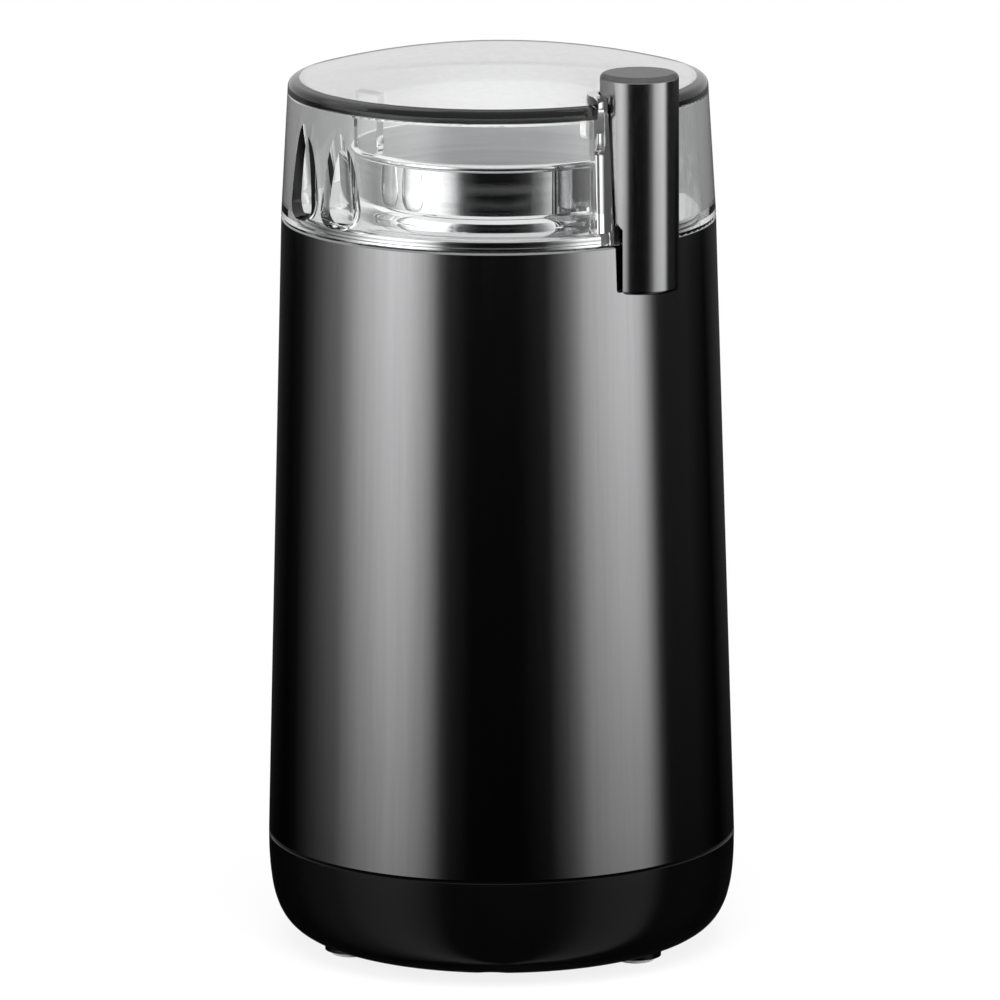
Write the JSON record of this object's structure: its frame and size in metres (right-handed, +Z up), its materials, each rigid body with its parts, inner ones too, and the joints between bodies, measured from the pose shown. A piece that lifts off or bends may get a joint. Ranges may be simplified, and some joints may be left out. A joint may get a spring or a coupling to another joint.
{
  "type": "electric coffee grinder",
  "caption": "Electric blade coffee grinder: tapered black body on a rounded base, polished steel cup and spinning blade under a clear domed lid with a press-down column at its edge.",
  "frame": {"origin": "on the table, under the body's axis", "axes": "+Z up; the push column faces -Y and the cord gland faces +Y"},
  "size_m": [0.086, 0.0878, 0.1663],
  "materials": {
    "base_plastic": "satin black moulded plastic",
    "body_lacquer": "gloss black lacquer on a drawn metal sleeve",
    "column_gloss": "gloss black",
    "lid_clear": "clear, polished",
    "steel_polished": "mirror-polished stainless steel",
    "foot_rubber": "pale grey rubber",
    "gland_rubber": "black rubber",
    "frame_plastic": "black moulded plastic",
    "seal_rubber": "black rubber",
    "zinc_steel": "zinc-plated",
    "bush_steel": "turned stainless steel",
    "cast_aluminium": "die-cast",
    "bearing_bronze": "sintered bronze",
    "laminations": "stamped electrical steel",
    "copper": "copper",
    "shaft_steel": "ground steel",
    "fan_plastic": "dark grey moulded plastic",
    "blade_steel": "stamped stainless steel",
    "carbon": "pressed carbon",
    "holder_phenolic": "brown phenolic",
    "switch_plastic": "black moulded plastic",
    "button_plastic": "red moulded plastic",
    "lead_insulation": "brown insulation",
    "spring_steel": "drawn spring wire",
    "rod_plastic": "natural white plastic",
    "tab_brass": "stamped brass"
  },
  "bodies": {
    "housing": {"base_cover": "base_plastic", "rubber_feet": "foot_rubber", "base_screws": "zinc_steel", "cord_gland": "gland_rubber", "body_sleeve": "body_lacquer", "motor_frame": "frame_plastic", "top_collar": "steel_polished", "grinding_cup": "steel_polished", "cup_bush": "bush_steel", "cup_nut": "zinc_steel", "shaft_seal": "seal_rubber", "motor_dampers": "seal_rubber", "motor_screws": "zinc_steel", "upper_bracket": "cast_aluminium", "lower_bracket": "cast_aluminium", "upper_bearing": "bearing_bronze", "lower_bearing": "bearing_bronze", "stator_core": "laminations", "field_coils": "copper", "stator_bolts": "zinc_steel", "brush_holders": "holder_phenolic", "carbon_brushes": "carbon", "brush_springs": "spring_steel", "brush_caps": "tab_brass", "switch_body": "switch_plastic", "switch_terminals": "tab_brass", "switch_screws": "zinc_steel", "rod_spring": "spring_steel", "motor_lead": "lead_insulation"},
    "rotor": {"motor_shaft": "shaft_steel", "armature_core": "laminations", "armature_windings": "copper", "commutator": "copper", "cooling_fan": "fan_plastic", "cutter_blade": "blade_steel", "blade_nut": "bush_steel"},
    "lid": {"clear_lid": "lid_clear"},
    "column": {"push_column": "column_gloss", "column_retainer": "rod_plastic", "retainer_screw": "zinc_steel"},
    "rod": {"push_rod": "rod_plastic"},
    "button": {"switch_button": "button_plastic"}
  },
  "joints": [
    {"name": "lid_lift", "type": "slide", "parent": "housing", "child": "lid", "axis": [0, 0, 1], "range_m": [0, 0.06]},
    {"name": "column_press", "type": "slide", "parent": "lid", "child": "column", "axis": [0, 0, -1], "range_m": [0, 0.0035], "stiffness_N_per_m": 400, "springref_m": -0.004},
    {"name": "rod_press", "type": "slide", "parent": "housing", "child": "rod", "axis": [0, 0, -1], "range_m": [0, 0.0035], "deforming": ["rod_spring"]},
    {"name": "button_press", "type": "slide", "parent": "housing", "child": "button", "axis": [0, 0, -1], "range_m": [0, 0.0035]},
    {"name": "rotor_spin", "type": "hinge", "parent": "housing", "child": "rotor", "pos_m": [0, 0, 0.055], "axis": [0, 0, 1], "continuous": true}
  ],
  "couplings": [
    {"joint": "rod_press", "follows": "column_press", "ratio": 1},
    {"joint": "button_press", "follows": "column_press", "ratio": 1}
  ]
}
